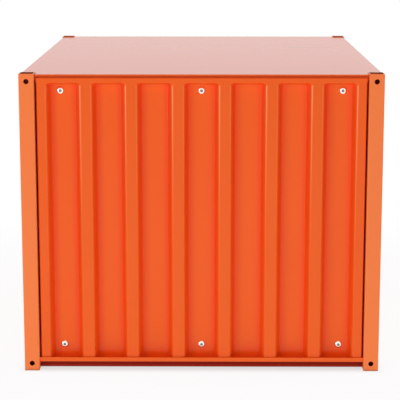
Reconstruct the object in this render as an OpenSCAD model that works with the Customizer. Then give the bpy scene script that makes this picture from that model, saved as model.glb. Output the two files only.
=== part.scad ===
// Sheet-steel storage box in the form of a shipping container: four tube posts, folded rails,
// pressed wall panels screwed on from outside, a flat roof sheet and a floor pan with a recessed skirt.
// Millimetres. The origin is on the ground at the middle of the box; the front faces -Y and +Z is up.

/* [Box] */
// Width over the posts, left to right
box_w = 450; // [400:1:640]
// Length over the posts, front to back
box_l = 550; // [460:1:900]
// Height from the ground to the post tops
box_h = 380; // [260:1:600]

/* [Corner posts] */
// Side of the square post tube
post_side = 19; // [18:0.5:28]
// Wall of the post tube
post_wall = 1.5; // [1.3:0.1:2.5]
// Radius of the tube's long edges
post_edge_r = 1.2; // [0.4:0.1:1.6]
// Radius that rounds the post's ends, less than its wall
post_end_r = 1.2; // [0.2:0.1:1.4]
// Diameter of the corner holes
corner_hole_d = 6.5; // [4:0.1:8]
// Height of a corner hole above the foot, and its depth below the top
corner_hole_rise = 9.8; // [9:0.1:16]
// How far the cap plate sits below the upper corner holes, which stay open from above
cap_clear = 1; // [0.5:0.1:4]
// Thickness of the cap plates and foot plates
end_plate_t = 1.5; // [1:0.1:2.5]

/* [Wall panels] */
// Sheet thickness of a wall panel
panel_t = 1.2; // [0.8:0.1:1.6]
// How far the ribs stand back from the posts' outer faces
panel_setback = 4; // [2:0.1:6]
// Open gap between a panel and the post beside it
panel_gap = 2; // [0.5:0.1:4]
// Depth of the pressed bays
bay_depth = 12; // [8:0.5:14]
// Width of the sloping web beside a bay, seen from the front
web_w = 5; // [3:0.1:8]
// Width of the sloping end over a bay, seen from the front
bay_end_w = 3; // [1:0.1:6]
// Width of a rib between two bays
rib_w = 14.9; // [8:0.1:20]
// Flat margin beside the first and the last bay
margin_w = 12.2; // [8:0.1:20]
// Flat band over the bays
band_h = 5.7; // [5:0.1:12]
// How much wider the middle bays are than the two at each end
middle_bay_extra = 1.9; // [0:0.1:6]
// Number of bays in the front and back panels
front_bays = 7; // [5:1:8]
// Number of bays in the side panels
side_bays = 9; // [5:1:10]
// Inside radius of the panel's folds
panel_fold_r = 0.9; // [0.4:0.1:1.6]
// Depth of the folded edge along a panel's sides
panel_return = 9; // [5:0.5:12]
// Inside radius of the fold along that edge
edge_fold_r = 0.4; // [0.3:0.1:1.6]

/* [Panel screws] */
// Diameter of the screw holes in panels and rails
screw_hole_d = 5.5; // [4:0.1:7]
// From a panel's side edge to the outer screws
screw_edge = 29; // [26:0.5:40]
// From a panel's top edge to the upper screws
screw_drop = 16.5; // [14:0.5:24]
// From a panel's bottom edge to the lower screws
screw_rise = 17.8; // [14:0.1:24]

/* [Rails] */
// Sheet thickness of the rails
rail_t = 1.5; // [1:0.1:2]
// Inside radius of the rails' folds
rail_fold_r = 0.4; // [0.3:0.1:1]
// Height of the screw flanges behind the panels
flange_h = 29; // [26:1:50]
// Width of the return that carries the roof
roof_return = 22; // [16:1:40]
// How far the top rail's face stands behind the panel's band
face_recess = 2.5; // [0:0.1:4]
// Room between the top rail's step and the bays' sloping ends
step_clear = 0.5; // [0.2:0.1:1.5]
// Underside of the bottom rail, above the ground
strip_bottom = 11.2; // [8:0.1:20]
// Height of the strip that stands up in front of the panel's lower edge
strip_h = 5.9; // [5:0.1:12]
// Room between that strip and the ribs behind it
strip_clear = 0.5; // [0.3:0.1:2]
// Room between the panel's lower edge and the bottom rail it stands in
panel_lift = 0.5; // [0.3:0.1:2]
// Open mitre between neighbouring roof returns
mitre_gap = 0.6; // [0.2:0.1:2]

/* [Roof] */
// Sheet thickness of the roof
roof_t = 1.5; // [1:0.1:2]
// How far the posts stand above the roof
roof_drop = 1; // [0:0.1:3]
// How far the roof's edge stands back from the posts' outer faces
roof_inset = 1.2; // [0:0.1:3]
// Radius of the roof's upper edge
roof_edge_r = 1; // [0.2:0.1:1]
// Slit between the roof's cut-outs and the posts
roof_slit = 1; // [0.4:0.1:3]
// Shadow gap between the roof and the panels
shadow_gap = 3.5; // [1:0.1:6]

/* [Floor pan] */
// Sheet thickness of the floor pan
floor_t = 1.5; // [1:0.1:2.5]
// How far the skirt stands back from the posts' outer faces
skirt_setback = 12; // [11:0.1:14]
// Underside of the skirt, above the ground
skirt_bottom = 1.4; // [1:0.1:5]
// Width of the edge folded in under the skirt
skirt_return = 12; // [6:1:30]
// Outside radius of the fold at the skirt's lower edge
skirt_fold_r = 2; // [1:0.1:3]

/* [Hidden] */
$fn = 48;
// Steps that round a fold, and the overshoot of a cut past the face it opens
fold_steps = 5;
cut_over = 1;
SIDES = ["front", "right", "back", "left"];
CORNERS = ["front_left", "front_right", "back_right", "back_left"];
CORNER_SIGNS = [[-1, -1], [1, -1], [1, 1], [-1, 1]];

frame_orange = [0.86, 0.30, 0.12];
panel_orange = [0.84, 0.22, 0.07];
roof_orange = [0.85, 0.24, 0.09];
under_orange = [0.62, 0.14, 0.05];

// Heights
roof_top = box_h - roof_drop;
rail_top = roof_top - roof_t;
panel_top = rail_top - shadow_gap;
strip_top = strip_bottom + strip_h;
trough_floor = strip_bottom + rail_t;
panel_bottom = trough_floor + panel_lift;
panel_h = panel_top - panel_bottom;
bay_top = panel_top - band_h;
cap_bottom = box_h - corner_hole_rise - corner_hole_d / 2 - cap_clear - end_plate_t;

// Distances inwards from the posts' outer faces
band_back = panel_setback + panel_t;
panel_back = band_back + bay_depth;
rail_face = band_back + face_recess;
strip_back = panel_setback - strip_clear;

// Folds: the front radius at a rib's edge, and how far that fold reaches past the edge
rib_fold_r = panel_fold_r + panel_t;
bay_end_angle = atan2(bay_depth, bay_end_w);
bay_end_reach = rib_fold_r * tan(bay_end_angle / 2);
step_z = bay_top + bay_end_reach + step_clear;

// Clear width between the posts on a side
function span(side) = (side % 2 == 0 ? box_w : box_l) - 2 * post_side;
function bay_count(side) = side % 2 == 0 ? front_bays : side_bays;

// Widths and left edges of a panel's bays, the two at each end being the narrow ones
function is_middle(i, n) = i > 1 && i < n - 2;
function narrow_bay(w, n) =
    (w - 2 * margin_w - (n - 1) * rib_w - max(n - 4, 0) * middle_bay_extra) / n;
function bay_width(i, w, n) = narrow_bay(w, n) + (is_middle(i, n) ? middle_bay_extra : 0);
function bay_left(i, w, n) =
    i == 0 ? margin_w - w / 2 : bay_left(i - 1, w, n) + bay_width(i - 1, w, n) + rib_w;

// Screw places on a panel: both ends and the middle, along the top and along the bottom
function screw_places(w) = [
    for (x = [screw_edge - w / 2, 0, w / 2 - screw_edge])
        for (z = [panel_bottom + screw_rise, panel_top - screw_drop]) [x, z]
];

// A sheet bent along a path: the line at distance off to the left of the path's travel, every
// corner rounded so that the fold's inside radius is r for a sheet of thickness t.
function unit(v) = v / norm(v);
function left_of(d) = [-d.y, d.x];
function turned(v, a) = [v.x * cos(a) - v.y * sin(a), v.x * sin(a) + v.y * cos(a)];
function turn(a, b) = atan2(a.x * b.y - a.y * b.x, a.x * b.x + a.y * b.y);
function heading(path, i) = unit(path[i + 1] - path[i]);
function corner_arc(path, i, off, t, r) =
    let (a = heading(path, i - 1), bend = turn(a, heading(path, i)), s = sign(bend),
         path_r = s > 0 ? r + t : r, line_r = path_r - s * off,
         centre = path[i] - a * path_r * tan(abs(bend) / 2) + left_of(a) * s * path_r)
    [for (k = [0:fold_steps]) centre - turned(left_of(a), bend * k / fold_steps) * s * line_r];
function folds(path, off, t, r) =
    [for (i = [1:len(path) - 2]) each corner_arc(path, i, off, t, r)];
function folded_line(path, off, t, r) =
    let (last = len(path) - 1)
    concat([path[0] + left_of(heading(path, 0)) * off], folds(path, off, t, r),
           [path[last] + left_of(heading(path, last - 1)) * off]);
function reversed(list) = [for (i = [len(list) - 1:-1:0]) list[i]];

module folded_sheet(path, t, r) {
    polygon(concat(folded_line(path, 0, t, r), reversed(folded_line(path, t, t, r))));
}

// Square with round corners
module round_square(w, h, r) {
    square([w - 2 * r, h], center = true);
    square([w, h - 2 * r], center = true);
    for (x = [-1, 1], y = [-1, 1]) translate([x * (w / 2 - r), y * (h / 2 - r)]) circle(r);
}

// Places a side's pieces: X runs to the right along the side and Y inwards from the posts' faces
module on_side(side) {
    rotate(90 * side) translate([0, -(side % 2 == 0 ? box_l : box_w) / 2, 0]) children();
}

// Stands a profile drawn as [inwards, up] along a side, centred, over a length
module along_side(length) {
    rotate([90, 0, 90]) translate([0, 0, -length / 2]) linear_extrude(length) children();
}

// Places a post's pieces on its axis
module at_corner(corner) {
    s = CORNER_SIGNS[corner];
    translate([s.x * (box_w - post_side) / 2, s.y * (box_l - post_side) / 2, 0]) children();
}

// Square post tube with rounded ends and a corner hole in each outer face, at both ends
module post(corner) {
    s = CORNER_SIGNS[corner];
    color(frame_orange) at_corner(corner) difference() {
        intersection() {
            linear_extrude(box_h) round_square(post_side, post_side, post_edge_r);
            for_both_ways() translate([0, box_h / 2]) round_square(post_side, box_h, post_end_r);
        }
        translate([0, 0, -cut_over]) linear_extrude(box_h + 2 * cut_over)
            square(post_side - 2 * post_wall, center = true);
        for (z = [corner_hole_rise, box_h - corner_hole_rise]) translate([0, 0, z]) {
            rotate([0, s.x * 90, 0]) cylinder(d = corner_hole_d, h = post_side);
            rotate([-s.y * 90, 0, 0]) cylinder(d = corner_hole_d, h = post_side);
        }
    }
}

// What lies within one upright outline seen from the front and again from the side
module for_both_ways() {
    intersection_for (a = [0, 90]) rotate(a) rotate([90, 0, 0])
        linear_extrude(2 * post_side, center = true) children();
}

// Plate welded into a post's end, its underside at height z
module end_plate(corner, z) {
    inside = post_side - 2 * post_wall;
    color(under_orange) at_corner(corner)
        translate([-inside / 2, -inside / 2, z]) cube([inside, inside, end_plate_t]);
}

module post_cap(corner) { end_plate(corner, cap_bottom); }
module post_foot(corner) { end_plate(corner, 0); }

// A bay's face (off = 0) or back (off = panel_t) in plan, between the ribs' flats
function bay_plan(i, w, n, off) =
    let (l = bay_left(i, w, n), r = l + bay_width(i, w, n), flat = rib_w / 2)
    folds([[l - flat, 0], [l, 0], [l + web_w, bay_depth], [r - web_w, bay_depth], [r, 0],
           [r + flat, 0]], off, panel_t, panel_fold_r);

// The same in upright section, drawn as [up, inwards]: the floor, the sloping end and the band
function bay_section(off) =
    folds([[panel_bottom, bay_depth], [bay_top - bay_end_w, bay_depth], [bay_top, 0],
           [panel_top, 0]], off, panel_t, panel_fold_r);

// What lies before the bays' faces (off = 0) or backs (off = panel_t), from the depth start inwards
module bay_form(w, n, off, start, bottom) {
    section = [for (p = bay_section(off)) [p.y, p.x]];
    top = section[len(section) - 1].y;
    intersection() {
        translate([0, 0, bottom]) linear_extrude(panel_h) for (i = [0:n - 1]) {
            plan = bay_plan(i, w, n, off);
            polygon(concat([[plan[0].x, start]], plan, [[plan[len(plan) - 1].x, start]]));
        }
        along_side(w) polygon(concat([[start, bottom], [bay_depth + off, bottom]], section,
                                     [[start, top]]));
    }
}

// Pressed wall panel: flat round its bays, edges folded in at both sides, bays open at the bottom
module panel(side) {
    w = span(side) - 2 * panel_gap;
    n = bay_count(side);
    color(panel_orange) on_side(side) translate([0, panel_setback, 0]) difference() {
        union() {
            translate([0, 0, panel_bottom]) linear_extrude(bay_top - panel_bottom) folded_sheet(
                [[-w / 2, panel_return], [-w / 2, 0], [w / 2, 0], [w / 2, panel_return]],
                panel_t, edge_fold_r);
            translate([-w / 2, 0, bay_top]) cube([w, panel_t, band_h]);
            bay_form(w, n, panel_t, panel_t / 2, panel_bottom);
        }
        bay_form(w, n, 0, -cut_over, panel_bottom - cut_over);
        for (p = screw_places(w)) translate([p.x, bay_depth - cut_over, p.y])
            rotate([-90, 0, 0]) cylinder(d = screw_hole_d, h = panel_t + 2 * cut_over);
    }
}

// Holes through a rail's flange for the screws at the given heights
module flange_holes(side, low, high) {
    for (p = screw_places(span(side) - 2 * panel_gap)) if (p.y > low && p.y < high)
        translate([p.x, panel_back - cut_over, p.y])
            rotate([-90, 0, 0]) cylinder(d = screw_hole_d, h = rail_t + 2 * cut_over);
}

// What lies between the posts and, further in, before the open mitre with the neighbouring sides
module mitred(side) {
    half = span(side) / 2;
    end = half - mitre_gap / 2;
    intersection() {
        children();
        translate([0, 0, -cut_over]) linear_extrude(box_h + 2 * cut_over) polygon([[-half, 0],
            [half, 0], [half, post_side], [end, post_side], [0, post_side + end],
            [-end, post_side], [-half, post_side]]);
    }
}

// Top rail: a return under the roof, a face behind the panel's band, a step and a screw flange
module top_rail(side) {
    low = step_z - flange_h;
    color(panel_orange) on_side(side) difference() {
        mitred(side) along_side(span(side)) folded_sheet([[rail_face + roof_return, rail_top],
            [rail_face, rail_top], [rail_face, step_z], [panel_back, step_z], [panel_back, low]],
            rail_t, rail_fold_r);
        flange_holes(side, low, step_z);
    }
}

// Bottom rail: a trough that the panel stands in, with a screw flange behind and a strip in front
module bottom_rail(side) {
    high = trough_floor + flange_h;
    color(panel_orange) on_side(side) difference() {
        mitred(side) along_side(span(side)) folded_sheet([[panel_back, high],
            [panel_back, trough_floor], [strip_back, trough_floor], [strip_back, strip_top]],
            rail_t, rail_fold_r);
        flange_holes(side, trough_floor, high);
    }
}

// Squares round the four posts, each larger by slit on its inner sides
module post_corners(slit, low, high) {
    cut = post_side + slit + cut_over;
    for (s = CORNER_SIGNS)
        translate([s.x * (box_w / 2 + cut_over - cut / 2), s.y * (box_l / 2 + cut_over - cut / 2),
                   (low + high) / 2])
            cube([cut, cut, high - low + 2 * cut_over], center = true);
}

// A block that stands back from the posts' faces, with its lower edges rounded
module edged_block(inset, h, r) {
    intersection() {
        edged_bar(box_w - 2 * inset, box_l, h, r);
        rotate(90) edged_bar(box_l - 2 * inset, box_w, h, r);
    }
}

module edged_bar(w, length, h, r) {
    rotate([90, 0, 0]) linear_extrude(length, center = true) {
        translate([-w / 2, r]) square([w, h - r]);
        translate([r - w / 2, 0]) square([w - 2 * r, h]);
        for (s = [-1, 1]) translate([s * (w / 2 - r), r]) circle(r);
    }
}

// Flat roof sheet with rounded upper edges, cut out round the posts
module roof_sheet() {
    color(roof_orange) difference() {
        translate([0, 0, roof_top]) mirror([0, 0, 1]) edged_block(roof_inset, roof_t, roof_edge_r);
        post_corners(roof_slit, rail_top, roof_top);
    }
}

// Floor pan: the floor, a skirt folded down all round and its lower edge folded in
module floor_pan() {
    color(under_orange) difference() {
        translate([0, 0, skirt_bottom])
            edged_block(skirt_setback, strip_bottom - skirt_bottom, skirt_fold_r);
        post_corners(0, skirt_bottom, strip_bottom);
        hollow(floor_t, skirt_bottom + floor_t);
        hollow(skirt_return, skirt_bottom - cut_over);
    }
}

// Inside of the floor pan from a height up to the floor, leaving a wall within the skirt and posts
module hollow(wall, low) {
    inset = skirt_setback + wall;
    high = strip_bottom - floor_t;
    difference() {
        translate([inset - box_w / 2, inset - box_l / 2, low])
            cube([box_w - 2 * inset, box_l - 2 * inset, high - low]);
        post_corners(wall, low, high);
    }
}

POSTS = [for (c = CORNERS) str("post_", c)];
CAPS = [for (c = CORNERS) str("cap_plate_", c)];
FEET = [for (c = CORNERS) str("foot_plate_", c)];
PANELS = [for (s = SIDES) str(s, "_panel")];
TOP_RAILS = [for (s = SIDES) str(s, "_top_rail")];
BOTTOM_RAILS = [for (s = SIDES) str(s, "_bottom_rail")];

for (i = [0:3]) {
    post(i);
    post_cap(i);
    post_foot(i);
    panel(i);
    top_rail(i);
    bottom_rail(i);
}
roof_sheet();
floor_pan();
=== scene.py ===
# %% [markdown]
# # A container-shaped storage box in powder-coated steel
#
# The real object is a furniture-size steel box in the form of a freight container: four tube posts,
# pressed and ribbed wall panels held by button-head screws, folded rails and a flat roof sheet.
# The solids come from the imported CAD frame, in metres, so every piece made here goes where they are.
# Sizes of the box are written in millimetres times MM, the places of lamps in metres, and colours as
# linear red, green and blue.

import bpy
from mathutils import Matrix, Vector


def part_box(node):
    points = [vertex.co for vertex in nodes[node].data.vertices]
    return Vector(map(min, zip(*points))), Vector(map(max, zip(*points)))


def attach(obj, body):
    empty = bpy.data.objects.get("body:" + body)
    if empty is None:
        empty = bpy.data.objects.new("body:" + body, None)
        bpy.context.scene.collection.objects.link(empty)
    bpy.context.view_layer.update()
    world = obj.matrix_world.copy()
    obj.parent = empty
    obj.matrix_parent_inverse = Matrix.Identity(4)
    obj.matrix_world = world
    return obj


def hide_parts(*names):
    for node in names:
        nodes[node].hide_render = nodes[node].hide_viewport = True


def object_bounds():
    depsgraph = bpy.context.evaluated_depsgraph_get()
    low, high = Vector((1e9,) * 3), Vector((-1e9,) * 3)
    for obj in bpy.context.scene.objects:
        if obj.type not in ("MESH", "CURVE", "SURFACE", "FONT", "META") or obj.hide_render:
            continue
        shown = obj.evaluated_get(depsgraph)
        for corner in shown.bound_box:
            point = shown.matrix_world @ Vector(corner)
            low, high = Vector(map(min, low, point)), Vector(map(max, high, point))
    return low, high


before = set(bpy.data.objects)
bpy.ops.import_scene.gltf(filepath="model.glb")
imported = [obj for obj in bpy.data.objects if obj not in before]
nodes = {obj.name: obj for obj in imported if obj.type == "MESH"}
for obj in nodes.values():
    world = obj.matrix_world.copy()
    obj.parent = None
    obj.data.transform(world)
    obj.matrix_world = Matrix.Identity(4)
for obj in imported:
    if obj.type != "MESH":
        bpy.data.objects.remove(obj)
cad_box = [list(corner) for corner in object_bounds()]

import math

import bpy
from mathutils import Matrix, Vector

scene = bpy.context.scene
MM = 0.001
print("frame:", len(nodes), "nodes, box", [[round(v, 4) for v in corner] for corner in cad_box])

# %% [markdown]
# ## Camera
#
# The photograph is taken with a long lens from a little above the roof, looking nearly straight at the
# front wall. The eye and the aim below were fitted to the corners of the box, so they are plain numbers.
# A small downward shift holds the uprights more upright, as a studio camera's rising front does.

# %% Camera
PHOTO_PX, FOCAL_PX, SHIFT_PX = 400, 1406, -24
SENSOR_MM = 36
EYE = Vector((9.3, -1991, 572)) * MM
AIM = Vector((-1.8, -275, 252.7)) * MM

lens = bpy.data.cameras.new("photo_camera")
lens.sensor_width = SENSOR_MM
lens.lens = SENSOR_MM * FOCAL_PX / PHOTO_PX
lens.shift_y = SHIFT_PX / PHOTO_PX
camera = bpy.data.objects.new("photo_camera", lens)
camera.location = EYE
camera.rotation_euler = (AIM - EYE).to_track_quat("-Z", "Y").to_euler()
scene.collection.objects.link(camera)
scene.camera = camera
print("camera: lens", round(lens.lens, 1), "mm, shift", lens.shift_y)

# %% [markdown]
# ## Writing nodes as sums
#
# A finish is a small program made of nodes. Linking them by hand is long and hard to read, so one class
# wraps a socket: plus, minus, times and divide on it add Math nodes, and node() adds any other node.
# The same class serves the shaders and the Geometry Nodes trees, because both use the same Math node.
# Two steps come up again and again, so they have short names: ramp() and mix().

# %% A socket that does sums
class Wire:
    """A socket of a node tree, or the bare tree where no socket is given."""

    def __init__(self, tree, socket=None):
        self.tree, self.socket = tree, socket

    def node(self, kind, settings=None, sockets=None, out=0):
        """Adds a node: its settings are set first, then the values or wires of its sockets."""
        made = self.tree.nodes.new(kind)
        for name, value in (settings or {}).items():
            setattr(made, name, value)
        for name, value in (sockets or {}).items():
            if isinstance(value, Wire):
                self.tree.links.new(value.socket, made.inputs[name])
            else:
                made.inputs[name].default_value = value
        return Wire(self.tree, made.outputs[out] if made.outputs else None)

    def other(self, out):
        """Another output of the node that this wire comes from."""
        return Wire(self.tree, self.socket.node.outputs[out])

    def maths(self, operation, *values):
        """A Math node on numbers and wires."""
        return self.node("ShaderNodeMath", {"operation": operation}, dict(enumerate(values)))

    def ramp(self, start, end, low=0.0, high=1.0, soft=False):
        """Goes from low, where this wire is at start, to high, where it is at end, and stays there."""
        return self.node("ShaderNodeMapRange", {"interpolation_type": "SMOOTHSTEP" if soft else "LINEAR"}, {
            "Value": self, "From Min": start, "From Max": end, "To Min": low, "To Max": high})

    def mix(self, colour, other):
        """One colour where this wire is 0, the other where it is 1."""
        return self.node("ShaderNodeMix", {"data_type": "RGBA"}, {0: self, 6: colour, 7: other}, out=2)

    def __add__(self, other): return self.maths("ADD", self, other)
    def __radd__(self, other): return self.maths("ADD", other, self)
    def __sub__(self, other): return self.maths("SUBTRACT", self, other)
    def __rsub__(self, other): return self.maths("SUBTRACT", other, self)
    def __mul__(self, other): return self.maths("MULTIPLY", self, other)
    def __rmul__(self, other): return self.maths("MULTIPLY", other, self)
    def __truediv__(self, other): return self.maths("DIVIDE", self, other)
    def __rtruediv__(self, other): return self.maths("DIVIDE", other, self)


def blank_tree(owner):
    """Empties a material's or the world's node tree and returns it as a Wire."""
    owner.use_nodes = True
    owner.node_tree.nodes.clear()
    return Wire(owner.node_tree)


print("Wire: sums on sockets are ready")

# %% [markdown]
# ## Powder coat
#
# Powder coat is a thick, baked paint. Close up it has a skin like an orange's: soft dimples about a
# millimetre wide. Thin sheet under it is never quite flat, so reflections swim slowly across a panel.
# Both are too shallow to model, so they go into Bump.
#
# The colour also holds painted light. A painted highlight runs along the outer folds, most of all high on a
# wall, and painted shade makes the folds and the foot of a bay redder and the inside of a tube dark. The wall
# tree further down writes two attributes that say where.
# A piece without them reads 0 there, so one recipe serves every piece.

# %% Coat recipe
# painted highlight: a pale tone along the outer folds
PAINTED_HIGHLIGHT_TONE = (1.0, 0.30, 0.13, 1)
# painted shade: a redder, darker tone in the folds, the side edge folds and at the foot of each bay
PAINTED_SHADE_TONE = (0.86, 0.074, 0.006, 1)
# painted shade: a dark red tone inside the post tubes
TUBE_SHADE_TONE = (0.24, 0.022, 0.008, 1)
TUBE_HALF = 8.2 * MM
# heights of a lighter band of painted light along a low edge
LIP_LOW, LIP_HIGH = 1.5 * MM, 5.5 * MM
DRIFT_SHARE, PEEL_STRENGTH, TUBE_ROUGHER = 0.8, 0.25, 0.4

# each noise: waves to the metre, detail and, where it isn't the usual one, roughness
DRIFT, DUST, WAVE, PEEL = (9.0, 3.0, 0.6), (60.0, 4.0, 0.7), (6.0, 0.0), (800.0, 1.0)

post_low, post_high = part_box("post_front_left")
post_x, post_y = (abs(a + b) / 2 for a, b in list(zip(post_low, post_high))[:2])


def noise(place, scale, detail, roughness=0.5):
    """Noise at a place, with a number of waves to the metre."""
    return place.node("ShaderNodeTexNoise", {}, {
        "Vector": place, "Scale": scale, "Detail": detail, "Roughness": roughness})


def mark(w, name):
    """An attribute that a tree has written on the mesh, from 0 to 1."""
    return w.node("ShaderNodeAttribute", {"attribute_name": name}, out="Fac")


def in_tube(x, y):
    """1 inside the four post tubes, 0 on their outside."""
    off_x = x.maths("ABSOLUTE", x.maths("ABSOLUTE", x) - post_x)
    off_y = y.maths("ABSOLUTE", y.maths("ABSOLUTE", y) - post_y)
    return x.maths("LESS_THAN", x.maths("MAXIMUM", off_x, off_y), TUBE_HALF)


def powder_coat(name, deep, light, roughness, uneven, ior, wave_depth, peel_depth, lit_lip=None):
    """A baked coat of two tones with orange peel, sheet wave and painted light; the last tone is a low edge's
    painted light.
    """
    material = bpy.data.materials.new(name)
    w = blank_tree(material)
    place = w.node("ShaderNodeTexCoord", out="Object")
    x = w.node("ShaderNodeSeparateXYZ", {}, {0: place})
    y, z = x.other(1), x.other(2)

    drift, dust = noise(place, *DRIFT), noise(place, *DUST)
    tone = (drift * DRIFT_SHARE + dust * (1 - DRIFT_SHARE)).mix((*deep, 1), (*light, 1))
    # painted light: a lighter band along the low edge, below these heights
    if lit_lip:
        tone = z.ramp(LIP_LOW, LIP_HIGH, 1.0, 0.0).mix(tone, (*lit_lip, 1))
    # painted highlight along the outer folds, stronger higher up a wall
    height = z / cad_box[1][2]
    tone = (mark(w, "painted_highlight") * height * height).mix(tone, PAINTED_HIGHLIGHT_TONE)
    # painted shade in the folds and at the foot of each bay
    tone = mark(w, "hollow").mix(tone, PAINTED_SHADE_TONE)
    # painted shade inside the tubes, where the surface is also rougher
    tube_shade = in_tube(x, y)
    tone = tube_shade.mix(tone, TUBE_SHADE_TONE)

    slow = w.node("ShaderNodeBump", {}, {
        "Height": noise(place, *WAVE), "Strength": 1.0, "Distance": wave_depth})
    skin = w.node("ShaderNodeBump", {}, {
        "Height": noise(place, *PEEL), "Strength": PEEL_STRENGTH, "Distance": peel_depth, "Normal": slow})
    coat = w.node("ShaderNodeBsdfPrincipled", {}, {
        "Base Color": tone, "Roughness": roughness + (dust - 0.5) * uneven + tube_shade * TUBE_ROUGHER,
        "IOR": ior, "Normal": skin})
    w.node("ShaderNodeOutputMaterial", {}, {"Surface": coat})
    return material


print("coat recipe ready; post centres at", round(post_x, 4), round(post_y, 4))

# %% [markdown]
# The posts stand in front and are a lighter orange, the panels are the main orange, the roof is the smoothest
# sheet and mirrors the white studio, and the floor pan under the walls is painted shade, a dark red, with a
# lighter band of painted light on its lower lip. A CAD node keeps its mesh: only its material slots get a coat.

# %% Coats on the CAD nodes
COATS = {
    "post_coat": dict(deep=(0.84, 0.18, 0.042), light=(0.88, 0.20, 0.050), roughness=0.34, uneven=0.06,
                      ior=1.32, wave_depth=0.2 * MM, peel_depth=0.04 * MM),
    "panel_coat": dict(deep=(0.80, 0.098, 0.005), light=(0.84, 0.112, 0.009), roughness=0.22, uneven=0.06,
                       ior=1.32, wave_depth=0.5 * MM, peel_depth=0.04 * MM),
    "roof_coat": dict(deep=(0.83, 0.10, 0.005), light=(0.87, 0.112, 0.009), roughness=0.17, uneven=0.01,
                      ior=1.375, wave_depth=0.02 * MM, peel_depth=0.004 * MM),
    # painted shade: a dark red coat on the recessed floor pan, with painted light on its lower lip
    "shaded_under_coat": dict(deep=(0.26, 0.008, 0.003), light=(0.33, 0.012, 0.004), roughness=0.55, uneven=0.10,
                       ior=1.25, wave_depth=0.3 * MM, peel_depth=0.04 * MM, lit_lip=(0.62, 0.045, 0.015)),
}
NODE_COATS = {"post": "post_coat", "cap": "post_coat", "foot": "post_coat", "roof": "roof_coat",
              "floor": "shaded_under_coat"}

coats = {name: powder_coat(name, **values) for name, values in COATS.items()}
for name, solid in nodes.items():
    for slot in solid.material_slots:
        slot.material = coats[NODE_COATS.get(name.split("_")[0], "panel_coat")]
print("powder coat on", len(nodes), "nodes:", list(coats))

# %% [markdown]
# ## Running a Geometry Nodes tree
#
# The walls and the screws follow rules, so each is a Geometry Nodes tree whose sizes are named inputs.
# A tree runs as a modifier on an empty object. The export drops live trees and instances, so the result
# is taken out as a plain mesh, and the helper object goes.

# %% Tree helpers
SHARP_ANGLE = math.radians(32)


def tree_inputs(tree, sizes):
    """Adds the named inputs of a Geometry Nodes tree; returns them as wires by name."""
    kinds = {float: "NodeSocketFloat", int: "NodeSocketInt"}
    for name, value in sizes.items():
        kind = kinds.get(type(value), "NodeSocketMaterial")
        tree.interface.new_socket(name, in_out="INPUT", socket_type=kind)
    tree.interface.new_socket("Geometry", in_out="OUTPUT", socket_type="NodeSocketGeometry")
    given = tree.nodes.new("NodeGroupInput")
    return {name: Wire(tree, given.outputs[name]) for name in sizes}


def unit_grid(w, columns, rows):
    """A grid of one by one, and each point's column and row, both from 0 to 1."""
    grid = w.node("GeometryNodeMeshGrid", {}, {
        "Size X": 1.0, "Size Y": 1.0, "Vertices X": columns, "Vertices Y": rows})
    at = w.node("ShaderNodeSeparateXYZ", {}, {0: w.node("GeometryNodeInputPosition")})
    return grid, at + 0.5, at.other(1) + 0.5


def store(geometry, name, value):
    """Writes a value on every point, under a name that a material can read."""
    return geometry.node("GeometryNodeStoreNamedAttribute", {"data_type": "FLOAT", "domain": "POINT"}, {
        "Geometry": geometry, "Name": name, "Value": value})


def close_tree(geometry, finish):
    """Ends a tree: instances made real, smooth faces and the finish."""
    real = geometry.node("GeometryNodeRealizeInstances", {}, {0: geometry})
    smooth = real.node("GeometryNodeSetShadeSmooth", {}, {0: real, "Shade Smooth": True})
    done = smooth.node("GeometryNodeSetMaterial", {}, {"Geometry": smooth, "Material": finish})
    done.node("NodeGroupOutput", {}, {0: done})


def made_by_tree(name, tree, sizes, thickness=0.0):
    """Runs a tree and returns a plain mesh; an open surface gets its thickness inwards."""
    holder = bpy.data.objects.new(name, bpy.data.meshes.new(name))
    scene.collection.objects.link(holder)
    runs = holder.modifiers.new("tree", "NODES")
    runs.node_group = tree
    for item in tree.interface.items_tree:
        if item.in_out == "INPUT":
            runs[item.identifier] = sizes[item.name]
    if thickness:
        wall = holder.modifiers.new("sheet", "SOLIDIFY")
        wall.thickness, wall.offset, wall.use_even_offset = thickness, -1, True
    bpy.context.view_layer.update()
    graph = bpy.context.evaluated_depsgraph_get()
    mesh = bpy.data.meshes.new_from_object(holder.evaluated_get(graph), depsgraph=graph)
    bpy.data.objects.remove(holder)
    mesh.name = name
    mesh.set_sharp_from_angle(angle=SHARP_ANGLE)
    return mesh


def add_piece(name, mesh):
    """Shows a finished mesh as a piece of the box, on the box's root body."""
    piece = bpy.data.objects.new(name, mesh)
    scene.collection.objects.link(piece)
    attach(piece, "root")
    return piece


print("tree helpers ready")

# %% [markdown]
# ## Pressed wall panels
#
# A press forms each wall from one sheet: flat ribs, sloping webs and sunk bays that end in a short slope
# under the top band, with the side edges folded back. Boxes would give hard, dead edges. Here a grid is
# sent to its place by a rule instead. The first step gives every column of the grid its bay. The two bays
# at each end are a little narrower than those between them. Whole numbers are compared half a step off,
# so that rounding can't tip them over.

# %% Wall tree: columns and bays
wall_sizes = {
    "Width": 0.408, "Height": 0.3608, "Bays": 7, "Margin": 12.2 * MM, "Rib": 14.9 * MM, "Web": 5.0 * MM,
    "Middle extra": 1.9 * MM, "Depth": 12.0 * MM, "Band": 5.7 * MM, "End": 3.0 * MM, "Rib fold": 1.4 * MM,
    "Bay fold": 2.0 * MM, "Edge fold": 1.6 * MM, "Return": 9.0 * MM, "Shade": 9.0 * MM, "Foot": 26.0 * MM,
    "Finish": None,
}
FOLD_COLUMNS, EDGE_COLUMNS = 20, 7
FOOT_ROWS, END_ROWS = 6, 14
NARROW_ENDS = 2

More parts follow.
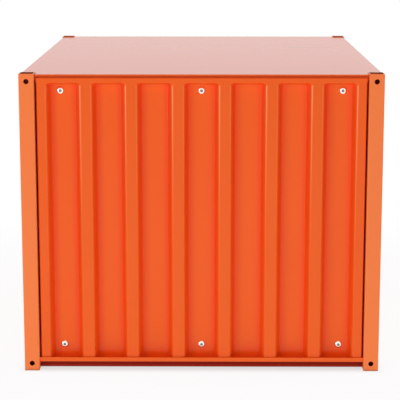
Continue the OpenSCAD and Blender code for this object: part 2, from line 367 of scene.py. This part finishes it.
wall_tree = bpy.data.node_groups.new("pressed_wall", "GeometryNodeTree")
s = tree_inputs(wall_tree, wall_sizes)
w = Wire(wall_tree)
columns = s["Bays"] * (2 * FOLD_COLUMNS) + 2 * EDGE_COLUMNS
rows = FOOT_ROWS + END_ROWS + 2
grid, along, upward = unit_grid(w, columns, rows)
column = w.maths("ROUND", along * (columns - 1))
row = w.maths("ROUND", upward * (rows - 1))

bay = w.maths("FLOOR", (column - EDGE_COLUMNS) / (2 * FOLD_COLUMNS))
bay = w.maths("MAXIMUM", 0.0, w.maths("MINIMUM", bay, s["Bays"] - 1))
wide_bays = w.maths("MAXIMUM", 0.0, s["Bays"] - 2 * NARROW_ENDS)
wide_before = w.maths("MAXIMUM", 0.0, w.maths("MINIMUM", bay - NARROW_ENDS, wide_bays))
past_first = w.maths("GREATER_THAN", bay, NARROW_ENDS - 0.5)
is_wide = past_first * w.maths("LESS_THAN", bay, s["Bays"] - (NARROW_ENDS + 0.5))
for_bays = s["Width"] - s["Margin"] * 2 - (s["Bays"] - 1) * s["Rib"] - wide_bays * s["Middle extra"]
narrow = for_bays / s["Bays"]
left = s["Margin"] - s["Width"] / 2 + bay * (narrow + s["Rib"]) + wide_before * s["Middle extra"]
right = left + narrow + is_wide * s["Middle extra"]
print("wall tree: columns and bays,", len(wall_tree.nodes), "nodes")

# %% [markdown]
# A sheet bends only at its folds, so that is where the points are needed. The columns of a bay crowd into
# its two folds, counted from the nearer side, and a few run on over the bay floor. In the same way the
# lowest rows step up the foot, the next ones crowd into the sloping end, and the last is the top edge.
# The depth is the product of a ramp across the bay and a ramp towards its end. Smooth Minimum and Smooth
# Maximum round each fold as the press does, and the product softens the inner corners.

# %% Wall tree: folds and depth
FOLD_SHARE = 0.7
SPARE = 2.2 * MM

step = column - EDGE_COLUMNS - bay * (2 * FOLD_COLUMNS)
from_side = w.maths("MINIMUM", step, (2 * FOLD_COLUMNS - 1) - step)
gone = from_side / (FOLD_COLUMNS - 1)
in_fold = w.maths("MINIMUM", gone / FOLD_SHARE, 1.0)
on_floor = w.maths("MAXIMUM", 0.0, (gone - FOLD_SHARE) / (1 - FOLD_SHARE))
inside = (s["Web"] + 2 * SPARE) * in_fold - SPARE + s["Shade"] * on_floor
on_left = w.maths("LESS_THAN", step, FOLD_COLUMNS - 0.5)
bay_x = on_left * (left + inside) + (1 - on_left) * (right - inside)

end_run = s["End"] + 2 * SPARE
bay_top = s["Height"] - s["Band"]
foot_z = s["Foot"] * (row / FOOT_ROWS)
end_z = bay_top - s["End"] - SPARE + end_run * ((row - FOOT_ROWS - 1) / (END_ROWS - 1))
in_foot = w.maths("LESS_THAN", row, FOOT_ROWS + 0.5)
is_top = w.maths("GREATER_THAN", row, rows - 1.5)
up = in_foot * foot_z + (1 - in_foot) * ((1 - is_top) * end_z + is_top * s["Height"])


def pressed(into, run):
    """Depth from 0 to 1 at a distance into a slope, both folds rounded."""
    slope = 1 / run
    risen = w.maths("SMOOTH_MAX", 0.0, into * slope, s["Rib fold"] * slope)
    return w.maths("SMOOTH_MIN", risen, 1.0, s["Bay fold"] * slope)


depth = s["Depth"] * pressed(inside, s["Web"]) * pressed(bay_top - up, s["End"])
print("wall tree: folds and depth,", len(wall_tree.nodes), "nodes")

# %% [markdown]
# The side edges turn back round a fold of their own, a quarter circle and a flat return. Beside the top
# band they stay flat.

# %% Wall tree: side edges
HAIR = 0.1 * MM

from_edge = w.maths("MINIMUM", column, columns - 1 - column)
is_edge = w.maths("LESS_THAN", from_edge, EDGE_COLUMNS - 0.5)
is_last = w.maths("LESS_THAN", from_edge, 0.5)
share = w.maths("MAXIMUM", 0.0, (from_edge - 1) / (EDGE_COLUMNS - 2))
bend = share * (math.pi / 2)
beside_band = w.maths("GREATER_THAN", up, bay_top + HAIR)
fold_x = s["Edge fold"] * ((1 - beside_band) * (1 - w.maths("COSINE", bend)) + beside_band * share)
fold_y = s["Edge fold"] * (1 - w.maths("SINE", bend)) * (1 - is_last) + s["Return"] * is_last
which_edge = 2 * w.maths("GREATER_THAN", column, columns / 2) - 1
edge_x = (s["Width"] / 2 - fold_x) * which_edge
across = is_edge * edge_x + (1 - is_edge) * bay_x
back = is_edge * fold_y * (1 - beside_band) + (1 - is_edge) * depth
print("wall tree: side edges,", len(wall_tree.nodes), "nodes")

# %% [markdown]
# Last come two marks of painted light for the coat. Painted shade is 1 in the folds, fades out over the bay
# floor and rises again at the foot. A painted highlight is a narrow line just outside each bay, fuller on its
# right side, where the light catches it. Both are written before the points move, because a field is read
# where it is used.

# %% Wall tree: painted shade and painted highlight marks
# place and half width of the painted highlight, and how much of it the left side of a bay loses
HIGHLIGHT_OUT, HIGHLIGHT_HALF = 0.6 * MM, 1.6 * MM
LEFT_HIGHLIGHT_LOSS = 0.7
# how much painted shade the foot gives to ribs and to bays
RIB_FOOT_SHADE, BAY_FOOT_SHADE = 0.4, 0.6
WELD = 0.01 * MM

# painted shade in the folds and at the foot
sinks = inside.ramp(0.0, s["Web"] * 0.5)
clears = (inside - s["Web"]).ramp(0.0, s["Shade"], 1.0, 0.0, soft=True)
foot = up.ramp(0.0, s["Foot"], 1.0, 0.0, soft=True)
below_band = (bay_top - up).ramp(0.0, s["End"])
hollow = w.maths("MAXIMUM", sinks * clears * below_band, foot * (RIB_FOOT_SHADE + sinks * BAY_FOOT_SHADE))
# painted shade along the side edge folds as well
hollow = hollow * (1 - is_edge) + is_edge * (1 - share)
# painted highlight just outside each bay, fuller higher up and on the right side
painted_highlight = w.maths("ABSOLUTE", inside + HIGHLIGHT_OUT).ramp(0.0, HIGHLIGHT_HALF, 1.0, 0.0)
painted_highlight = painted_highlight * (up / s["Height"]) * (1 - on_left * LEFT_HIGHLIGHT_LOSS) * (1 - is_edge)
painted_highlight = painted_highlight * w.maths("LESS_THAN", up, bay_top - s["End"])

marked = store(store(grid, "hollow", hollow), "painted_highlight", painted_highlight)
there = w.node("ShaderNodeCombineXYZ", {}, {0: across, 1: up, 2: 0 - back})
formed = w.node("GeometryNodeSetPosition", {}, {"Geometry": marked, "Position": there})
welded = w.node("GeometryNodeMergeByDistance", {}, {"Geometry": formed, "Distance": WELD})
close_tree(welded, s["Finish"])
print("wall tree: done,", len(wall_tree.nodes), "nodes")

# %% [markdown]
# The four walls take their width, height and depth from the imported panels, and stand exactly where those
# stand. A drawing made flat, with Z outwards, is turned up and round to its side of the box.

# %% Walls
SHEET = 1.2 * MM
SIDES = {"front": 0, "right": 90, "back": 180, "left": 270}
BAYS = {"front": 7, "right": 9, "back": 7, "left": 9}


def wall_place(side):
    """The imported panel's width, height, depth over all, and the matrix that stands a drawing on it."""
    low, high = (Vector(corner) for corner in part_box(side + "_panel"))
    size = high - low
    width, deep = max(size.x, size.y), min(size.x, size.y)
    thin = 0 if side in ("left", "right") else 1
    out = max(abs(low[thin]), abs(high[thin]))
    stand = Matrix.Translation((0, -out, low.z)) @ Matrix.Rotation(math.radians(90), 4, "X")
    return width, size.z, deep, Matrix.Rotation(math.radians(SIDES[side]), 4, "Z") @ stand


for side in SIDES:
    width, height, deep, stand = wall_place(side)
    mesh = made_by_tree(side + "_wall", wall_tree, wall_sizes | {
        "Width": width, "Height": height, "Depth": deep - SHEET, "Bays": BAYS[side],
        "Finish": coats["panel_coat"]}, thickness=SHEET)
    mesh.transform(stand)
    wall = add_piece(side + "_wall", mesh)
    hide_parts(side + "_panel")
    print(wall.name, len(mesh.polygons), "faces,", round(width, 4), "wide,", round(deep, 4), "deep")

# %% [markdown]
# ## Panel screws
#
# Each wall is held by six button-head screws, three along the top and three along the bottom, seated on
# the bay floors. A head is a low dome with a hexagon socket. Modelling one and copying it would do, but
# a tree can spin a profile into a screw and set it on a grid of points, each one turned by chance as a
# hand leaves it. The profile runs from the socket's middle over the dome and down the shank to its tip.

# %% Screw profile
screw_sizes = {
    "Across": 0.350, "Up": 0.3265, "Head width": 9.5 * MM, "Head height": 2.75 * MM,
    "Socket width": 3.0 * MM, "Socket depth": 1.8 * MM, "Shank width": 5.0 * MM,
    "Shank length": 5.0 * MM, "Seed": 3, "Finish": None,
}
DRILL_POINT, SOCKET_EDGE, SOCKET_FLARE = 0.4 * MM, 0.3 * MM, 1.22
DOME = ((0.50, 0.985), (0.66, 0.90), (0.80, 0.75), (0.91, 0.54), (0.98, 0.32), (1.0, 0.16))
RIM, RIM_UP, SEAT = 0.985, 0.08 * MM, 0.95

screw_tree = bpy.data.node_groups.new("panel_screws", "GeometryNodeTree")
s = tree_inputs(screw_tree, screw_sizes)
w = Wire(screw_tree)
head_r, top, hexagon = s["Head width"] / 2, s["Head height"], s["Socket width"] / 2
floor_z, shank_r, tip = top - s["Socket depth"], s["Shank width"] / 2, 0 - s["Shank length"]
socket_rings = [
    (0.0, floor_z - DRILL_POINT), (hexagon, floor_z), (hexagon, top - SOCKET_EDGE),
    (hexagon * SOCKET_FLARE, top)]
dome_rings = [(head_r * wide, top * high) for wide, high in DOME]
shank_rings = [
    (head_r * RIM, RIM_UP), (head_r * SEAT, 0.0), (shank_r, 0.0), (shank_r, tip), (0.0, tip - DRILL_POINT)]
profile = socket_rings + dome_rings + shank_rings
print("screw profile:", len(profile), "rings")

# %% [markdown]
# A grid bent into a ring spins the profile: its rows are the rings and its columns the spokes. Rings 1 and
# 2 are the socket's walls, and there the reach follows a hexagon instead of a circle. The spun faces point
# inwards, so they are flipped before the seam is welded. The socket is marked for its painted shade.

# %% Screw tree
SPOKES = 36
HEX_MIDDLE, HEX_NEAR = 1.5, 0.6
SCREW_WELD = 0.002 * MM
SCREWS_ALONG, SCREW_ROWS = 3, 2


def pick(index, values):
    """The value at a whole-number index, out of a short list."""
    switch = index.node("GeometryNodeIndexSwitch", {"data_type": "FLOAT"}, {"Index": index})
    node = switch.socket.node
    for _ in range(len(values) - len(node.index_switch_items)):
        node.index_switch_items.new()
    for number, value in enumerate(values):
        if isinstance(value, Wire):
            index.tree.links.new(value.socket, node.inputs[str(number)])
        else:
            node.inputs[str(number)].default_value = value
    return switch


grid, along, upward = unit_grid(w, SPOKES + 1, len(profile))
turn = along * math.tau
ring = w.maths("ROUND", upward * (len(profile) - 1))
reach = pick(ring, [r for r, z in profile])
height = pick(ring, [z for r, z in profile])
in_hexagon = w.maths("LESS_THAN", w.maths("ABSOLUTE", ring - HEX_MIDDLE), HEX_NEAR)
off_flat = w.maths("PINGPONG", turn, math.pi / 6)
six = 1 / w.maths("COSINE", math.pi / 6 - off_flat)
reach = reach * (1 + in_hexagon * (six - 1))
spun = w.node("ShaderNodeCombineXYZ", {}, {
    0: reach * w.maths("COSINE", turn), 1: reach * w.maths("SINE", turn), 2: height})
# marks the socket for its painted shade
marked = store(grid, "socket", w.maths("LESS_THAN", ring, HEX_MIDDLE))
turned = w.node("GeometryNodeSetPosition", {}, {"Geometry": marked, "Position": spun})
outward = w.node("GeometryNodeFlipFaces", {}, {"Mesh": turned})
one = w.node("GeometryNodeMergeByDistance", {}, {"Geometry": outward, "Distance": SCREW_WELD})

places = w.node("GeometryNodeMeshGrid", {}, {
    "Size X": s["Across"], "Size Y": s["Up"], "Vertices X": SCREWS_ALONG, "Vertices Y": SCREW_ROWS})
by_hand = w.node("FunctionNodeRandomValue", {"data_type": "FLOAT"}, {
    2: 0.0, 3: math.tau, "Seed": s["Seed"]}, out=1)
spin = w.node("ShaderNodeCombineXYZ", {}, {2: by_hand})
copies = w.node("GeometryNodeInstanceOnPoints", {}, {"Points": places, "Instance": one, "Rotation": spin})
close_tree(copies, s["Finish"])
print("screw tree:", len(screw_tree.nodes), "nodes")

# %% [markdown]
# The screws are bright plated steel: a pale metal with a fine turned grain. Metal has no colour of
# its own under its reflection, so Metallic is 1 and the base colour is what it reflects head-on. The socket
# is painted dull, dark and not metal, as painted shade for its recess.

# %% Screw steel
# the socket's tone is painted shade for its recess
PLATE_WARM, PLATE_PALE, SOCKET_SHADE_TONE = (0.97, 0.90, 0.81, 1), (1.0, 0.95, 0.88, 1), (0.30, 0.28, 0.25, 1)
GRAIN, GRAIN_STRENGTH, GRAIN_DEPTH = (1400.0, 2.0), 0.2, 0.01 * MM
POLISH, GRAIN_ROUGHER, SOCKET_ROUGHER = 0.14, 0.1, 0.4

screw_steel = bpy.data.materials.new("screw_steel")
w = blank_tree(screw_steel)
place = w.node("ShaderNodeTexCoord", out="Object")
grain = noise(place, *GRAIN)
socket = mark(w, "socket")
# painted shade: the socket is dull, dark and not metal
plated = socket.mix(grain.mix(PLATE_WARM, PLATE_PALE), SOCKET_SHADE_TONE)
worked = w.node("ShaderNodeBump", {}, {
    "Height": grain, "Strength": GRAIN_STRENGTH, "Distance": GRAIN_DEPTH})
metal = w.node("ShaderNodeBsdfPrincipled", {}, {
    "Base Color": plated, "Metallic": 1 - socket,
    "Roughness": POLISH + grain * GRAIN_ROUGHER + socket * SOCKET_ROUGHER, "Normal": worked})
w.node("ShaderNodeOutputMaterial", {}, {"Surface": metal})
print("screw steel ready")

# %% [markdown]
# On each wall the screws sit in the first, the middle and the last bay, at two heights that the photograph
# gives. The tree draws them round their own middle, and the wall's matrix carries them to the bay floors.
# Each wall has a seed of its own, so no two walls show the same turns.

# %% Screws on four walls
SCREW_EDGE, SCREW_LOW, SCREW_HIGH = 29 * MM, 31.0 * MM, 357.5 * MM

for number, side in enumerate(SIDES):
    width, height, deep, stand = wall_place(side)
    mesh = made_by_tree(side + "_screws", screw_tree, screw_sizes | {
        "Across": width - 2 * SCREW_EDGE, "Up": SCREW_HIGH - SCREW_LOW,
        "Seed": screw_sizes["Seed"] + number, "Finish": screw_steel})
    lift = (SCREW_LOW + SCREW_HIGH) / 2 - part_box(side + "_panel")[0][2]
    mesh.transform(stand @ Matrix.Translation((0, lift, SHEET - deep)))
    screws = add_piece(side + "_screws", mesh)
    print(screws.name, len(mesh.polygons), "faces")

# %% [markdown]
# ## Studio
#
# The photograph has a pure white background and broad, soft light. A large white floor stands for the
# paper sweep. What the camera and the reflections see of floor and world is white at strength 1. The light
# that falls on the box from them is lower, so that the lamps can model the folds. Close round the box the
# floor lets some of its lit and shadowed paper through, and so it keeps the box's contact shadow.

# %% Floor and world
FLOOR_HALF = 30
WHITE = (1, 1, 1, 1)
WORLD_FILL = 0.08
PAPER_BOUNCE, PAPER_SHOWN = 0.2, 0.7

# each shadow: where it starts and ends, off the box, and how strong it is there
CONTACT_SHADOW, WIDE_SHADOW = (-12 * MM, 12 * MM, 0.28, 0.0), (0.0, 400 * MM, 0.08, 0.0)


def shown_rays(w):
    """1 for the rays that make up the picture: straight to the camera, mirrored or through glass."""
    straight = w.node("ShaderNodeLightPath", out="Is Camera Ray")
    bent = w.maths("MAXIMUM", straight.other("Is Glossy Ray"), straight.other("Is Transmission Ray"))
    return w.maths("MAXIMUM", straight, bent)


corners = [(FLOOR_HALF * x, FLOOR_HALF * y, 0) for x, y in ((-1, -1), (1, -1), (1, 1), (-1, 1))]
floor_mesh = bpy.data.meshes.new("floor")
floor_mesh.from_pydata(corners, [], [(0, 1, 2, 3)])
floor = bpy.data.objects.new("floor", floor_mesh)
scene.collection.objects.link(floor)

paper = bpy.data.materials.new("white_paper")
w = blank_tree(paper)
shown = shown_rays(w)
x = w.node("ShaderNodeSeparateXYZ", {}, {0: w.node("ShaderNodeTexCoord", out="Object")})
past_x, past_y = w.maths("ABSOLUTE", x) - cad_box[1][0], w.maths("ABSOLUTE", x.other(1)) - cad_box[1][1]
away = w.maths("MAXIMUM", past_x, past_y)
shadow = away.ramp(*CONTACT_SHADOW, soft=True) + away.ramp(*WIDE_SHADOW, soft=True)
matt = w.node("ShaderNodeBsdfDiffuse", {}, {"Color": PAPER_BOUNCE + shown * PAPER_SHOWN})
white = w.node("ShaderNodeEmission", {}, {"Color": WHITE, "Strength": 1.0})
seen = w.node("ShaderNodeMixShader", {}, {0: shown * (1 - shadow), 1: matt, 2: white})
w.node("ShaderNodeOutputMaterial", {}, {"Surface": seen})
floor_mesh.materials.append(paper)

studio = bpy.data.worlds.new("studio")
scene.world = studio
w = blank_tree(studio)
fill = w.node("ShaderNodeBackground", {}, {"Color": WHITE, "Strength": WORLD_FILL})
blank = w.node("ShaderNodeBackground", {}, {"Color": WHITE, "Strength": 1.0})
light = w.node("ShaderNodeMixShader", {}, {0: shown_rays(w), 1: fill, 2: blank})
w.node("ShaderNodeOutputWorld", {}, {"Surface": light})
print("floor and world ready")

# %% [markdown]
# A softbox is named by how bright it makes a white card that faces it where the box stands, so that the
# levels can be added up: near 1 in all, a colour renders about as it is written. Two stand before the front
# wall and two before the back, one beside each side wall and one above. A low, narrow strip stands to the
# left of the front wall, and another in the same place at the back. They light the webs that face them, and
# as the only lamps that show in gloss they put a glint on folds and screws.
#
# White paper also throws light back up, and that light, with painted shade in the coat, is what shades the
# foot of each bay. A flat lamp just above the paper before each wall stands for it, as bright as lit white
# paper is.

# %% Lamps
TARGET = Vector((0, 0, 190)) * MM
PAPER_LIFT = 0.3 * MM


def lamp_at(name, place, size, energy, aim, in_gloss=False):
    """An area lamp, wide and high as size says, that lights the box and isn't seen itself."""
    lamp = bpy.data.lights.new(name, "AREA")
    lamp.shape, lamp.size, lamp.size_y = "RECTANGLE", *size
    lamp.energy = energy
    holder = bpy.data.objects.new(name, lamp)
    holder.location = place
    holder.rotation_euler = aim.to_track_quat("-Z", "Y").to_euler()
    holder.visible_camera, holder.visible_glossy = False, in_gloss
    scene.collection.objects.link(holder)


def softbox(name, turn, out, up, size, level, in_gloss):
    """A softbox at a turn round the box, out and up; level is how bright it makes a white card."""
    place = Matrix.Rotation(turn, 4, "Z") @ Vector((0, -out, up))
    aim = TARGET - place
    lamp_at(name, place, size, level * math.pi ** 2 * aim.length_squared, aim, in_gloss)


def lit_paper(name, turn, near, far, width, brightness):
    """The paper before one wall, from near to far, throwing light up at a brightness where 1 is white."""
    place = Matrix.Rotation(turn, 4, "Z") @ Vector((0, -(near + far) / 2, PAPER_LIFT))
    before_an_end = abs(math.sin(turn)) < 0.5
    size = (width, far - near) if before_an_end else (far - near, width)
    lamp_at(name, place, size, brightness * math.pi * width * (far - near), Vector((0, 0, 1)))


print("lamp makers ready")

# %% [markdown]
# The numbers were found by rendering each lamp alone and weighing the results against the photograph.
# A softbox is its turn in degrees, how far out and up it stands, its width and height, and its level. A
# paper is its turn, where it starts and ends before the wall, its width and its brightness.

# %% Lamps round the box
SOFTBOXES = {
    "front_right": (28, 2.3, 0.95, (0.9, 1.3), 0.195), "front_left": (-28, 2.3, 0.95, (0.9, 1.3), 0.160),
    "back_right": (152, 2.3, 0.95, (0.9, 1.3), 0.160), "back_left": (208, 2.3, 0.95, (0.9, 1.3), 0.195),
    "right": (90, 2.4, 1.0, (1.2, 1.0), 0.36), "left": (270, 2.4, 1.0, (1.2, 1.0), 0.36),
    "above": (0, 0.0, 2.4, (1.2, 1.2), 0.19),
}
STRIPS = {
    "front_strip": (-44, 2.0, 0.47, (0.22, 0.88), 0.14), "back_strip": (136, 2.0, 0.47, (0.22, 0.88), 0.14),
}
PAPERS = {
    "front_near": (0, 0.277, 0.6, 1.2, 1.05), "front_far": (0, 0.6, 2.6, 1.5, 1.4),
    "back_near": (180, 0.277, 0.6, 1.2, 1.05), "back_far": (180, 0.6, 2.6, 1.5, 1.4),
    "right": (90, 0.227, 1.6, 0.5, 1.3), "left": (270, 0.227, 1.6, 0.5, 1.3),
}
for name, (turn, *rest) in (SOFTBOXES | STRIPS).items():
    softbox(name + "_softbox", math.radians(turn), *rest, in_gloss=name in STRIPS)
for name, (turn, *rest) in PAPERS.items():
    lit_paper(name + "_paper", math.radians(turn), *rest)

# %% [markdown]
# ## Finish
#
# Standard shows colours as they are written.

# %% Finish
scene.view_settings.view_transform = "Standard"
